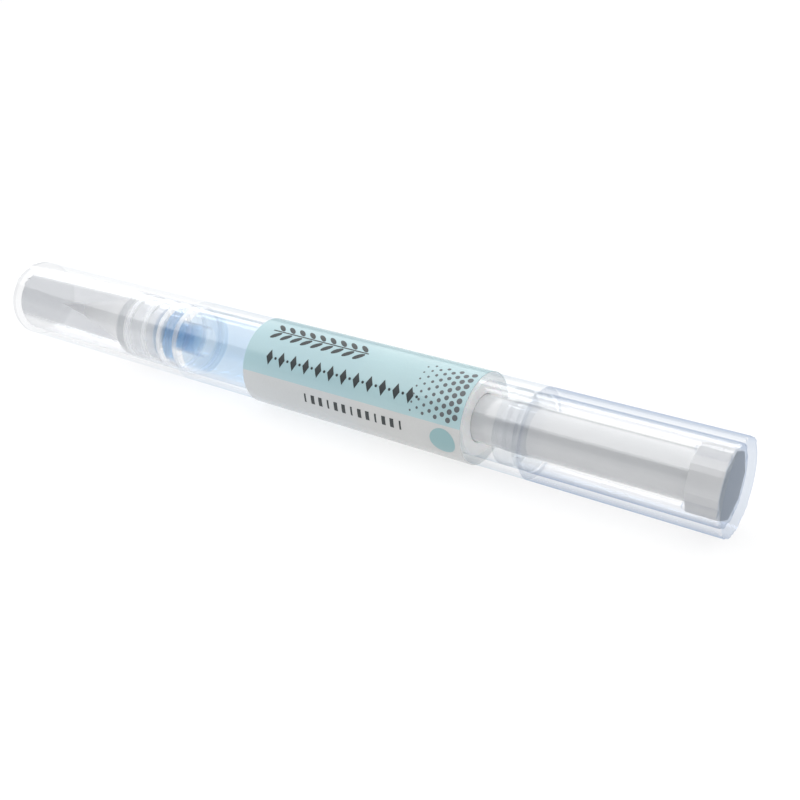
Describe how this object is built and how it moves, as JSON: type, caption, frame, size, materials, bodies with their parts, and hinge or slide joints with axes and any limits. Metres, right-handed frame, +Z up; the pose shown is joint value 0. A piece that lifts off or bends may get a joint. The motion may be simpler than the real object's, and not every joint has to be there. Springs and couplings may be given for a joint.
{
  "type": "nail oil pen",
  "caption": "Slim clear twist-up pen that feeds oil to a small brush tip, with a clear pull-off cap, a wrapped label and a clear twist knob.",
  "frame": {"origin": "on the surface that the pen lies on, under the middle of its length and width", "axes": "+X along the pen from the cap to the twist knob, +Z up, +Y to the far side in the picture"},
  "size_m": [0.124, 0.0128, 0.0128],
  "materials": {
    "clear_shell": "clear polished moulding",
    "clear_barrel": "clear polished moulding",
    "bristles": "fine nylon filament",
    "frosted_plastic": "translucent satin moulding",
    "seal_rubber": "soft translucent ring",
    "label_film": "printed glossy film",
    "oil": "clear pale blue oil",
    "white_plastic": "white satin moulding",
    "sleeve_plastic": "grey-white semi-gloss moulding",
    "plug_plastic": "grey-white semi-gloss moulding"
  },
  "bodies": {
    "barrel": {"barrel": "clear_barrel", "label": "label_film", "brush_seat": "frosted_plastic", "neck_seal": "seal_rubber", "brush_ferrule": "frosted_plastic", "feed_tube": "frosted_plastic", "brush_tuft": "bristles", "oil_fill": "oil", "thread_nut": "white_plastic", "click_ring": "white_plastic", "lock_ring": "white_plastic", "sleeve_bush": "clear_barrel"},
    "cap": {"cap": "clear_shell"},
    "knob": {"knob": "clear_shell", "tail_plug": "plug_plastic", "drive_sleeve": "sleeve_plastic", "ratchet_wheel": "white_plastic"},
    "piston": {"piston": "white_plastic"},
    "spindle": {"spindle": "white_plastic"}
  },
  "joints": [
    {"name": "cap_pull", "type": "slide", "parent": "barrel", "child": "cap", "axis": [-1, 0, 0], "range_m": [0, 0.045]},
    {"name": "knob_twist", "type": "hinge", "parent": "barrel", "child": "knob", "pos_m": [0.04, 0, 0.00642], "axis": [1, 0, 0], "range_deg": [0, 3600]},
    {"name": "piston_feed", "type": "slide", "parent": "barrel", "child": "piston", "axis": [-1, 0, 0], "range_m": [0, 0.03], "deforming": ["oil_fill"]},
    {"name": "spindle_turn", "type": "hinge", "parent": "piston", "child": "spindle", "pos_m": [0.03, 0, 0.00642], "axis": [1, 0, 0], "range_deg": [0, 3600]}
  ],
  "couplings": [
    {"joint": "knob_twist", "follows": "piston_feed", "rad_per_m": 2094.4},
    {"joint": "spindle_turn", "follows": "piston_feed", "rad_per_m": 2094.4}
  ]
}
